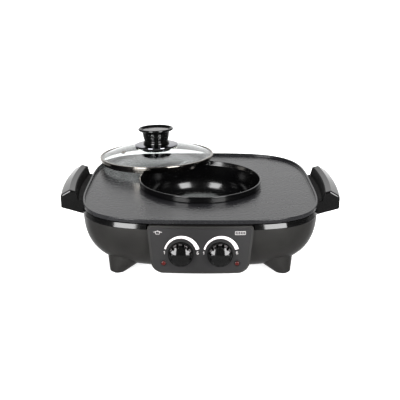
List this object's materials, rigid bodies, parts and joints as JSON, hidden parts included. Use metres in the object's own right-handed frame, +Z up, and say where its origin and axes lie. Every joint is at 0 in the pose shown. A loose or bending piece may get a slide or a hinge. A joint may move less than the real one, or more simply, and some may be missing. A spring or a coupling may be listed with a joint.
{
  "type": "electric hot pot and grill",
  "caption": "Countertop electric grill plate with a hot pot in its middle, a glass lid laid aside, side handles and a dial panel.",
  "frame": {"origin": "on the floor plane, at the middle of the overall length and depth", "axes": "+X to the right along the panel and the length over the handles, +Y away from the dials, +Z up"},
  "size_m": [0.484, 0.464, 0.1748],
  "materials": {
    "cast_nonstick": "satin textured non-stick coating on cast aluminium",
    "pot_nonstick": "smooth non-stick coating on drawn aluminium",
    "lid_glass": "clear tempered",
    "lid_steel": "bright rolled steel",
    "chrome_trim": "polished",
    "knob_plastic": "phenolic, gloss",
    "gloss_black": "gloss",
    "shell_plastic": "satin",
    "panel_grey": "satin",
    "dial_plastic": "gloss",
    "red_lens": "translucent",
    "bezel_plastic": "gloss",
    "rubber_black": "matte",
    "silicone": "matte",
    "heater_steel": "oxidised",
    "ceramic": "unglazed steatite",
    "shield_aluminium": "mill",
    "zinc_steel": "zinc plated",
    "black_screw": "blackened",
    "phenolic_brown": "matte",
    "brass_pin": "polished",
    "wire_jacket": "glass-silicone sleeve",
    "cover_steel": "black powder coat"
  },
  "bodies": {
    "base": {"upper_frame": "gloss_black", "base_bowl": "shell_plastic", "bottom_cover": "cover_steel", "cover_screws": "zinc_steel", "handle_left": "gloss_black", "handle_right": "gloss_black", "handle_screws": "black_screw", "control_box": "shell_plastic", "control_fascia": "panel_grey", "thermostat_bracket": "zinc_steel", "bracket_screws": "zinc_steel", "grill_element": "heater_steel", "element_bushes": "ceramic", "element_supports": "zinc_steel", "grill_reflector": "shield_aluminium", "pot_element": "heater_steel", "pot_reflector": "shield_aluminium", "pan_standoffs": "zinc_steel", "pot_sensor": "shield_aluminium", "power_inlet": "phenolic_brown", "inlet_pins": "brass_pin", "terminal_block": "ceramic", "wiring": "wire_jacket", "lamp_pot": "red_lens", "lamp_bezel_pot": "bezel_plastic", "thermostat_pot": "phenolic_brown", "lamp_grill": "red_lens", "lamp_bezel_grill": "bezel_plastic", "thermostat_grill": "phenolic_brown", "foot_front_left": "shell_plastic", "pad_front_left": "rubber_black", "foot_front_right": "shell_plastic", "pad_front_right": "rubber_black", "foot_back_left": "shell_plastic", "pad_back_left": "rubber_black", "foot_back_right": "shell_plastic", "pad_back_right": "rubber_black"},
    "plate": {"grill_plate": "cast_nonstick"},
    "pot": {"pot": "pot_nonstick"},
    "lid": {"lid_glass": "lid_glass", "lid_ring": "lid_steel", "lid_vent": "lid_steel", "lid_escutcheon": "chrome_trim", "lid_knob": "knob_plastic", "lid_knob_insert": "gloss_black", "lid_washer": "silicone", "lid_knob_screw": "zinc_steel"},
    "dial_pot": {"dial_pot": "dial_plastic", "shaft_pot": "zinc_steel"},
    "dial_grill": {"dial_grill": "dial_plastic", "shaft_grill": "zinc_steel"}
  },
  "joints": [
    {"name": "plate_lift", "type": "slide", "parent": "base", "child": "plate", "axis": [0, 0, 1], "range_m": [0, 0.08]},
    {"name": "pot_lift", "type": "slide", "parent": "plate", "child": "pot", "axis": [0, 0, 1], "range_m": [0, 0.1]},
    {"name": "lid_lift", "type": "slide", "parent": "pot", "child": "lid", "axis": [0, 0, 1], "range_m": [0, 0.15]},
    {"name": "dial_pot_turn", "type": "hinge", "parent": "base", "child": "dial_pot", "pos_m": [-0.0305, -0.215, 0.0545], "axis": [0, 0.9903, -0.1392], "range_deg": [0, 225]},
    {"name": "dial_grill_turn", "type": "hinge", "parent": "base", "child": "dial_grill", "pos_m": [0.0305, -0.215, 0.0545], "axis": [0, 0.9903, -0.1392], "range_deg": [0, 225]}
  ]
}
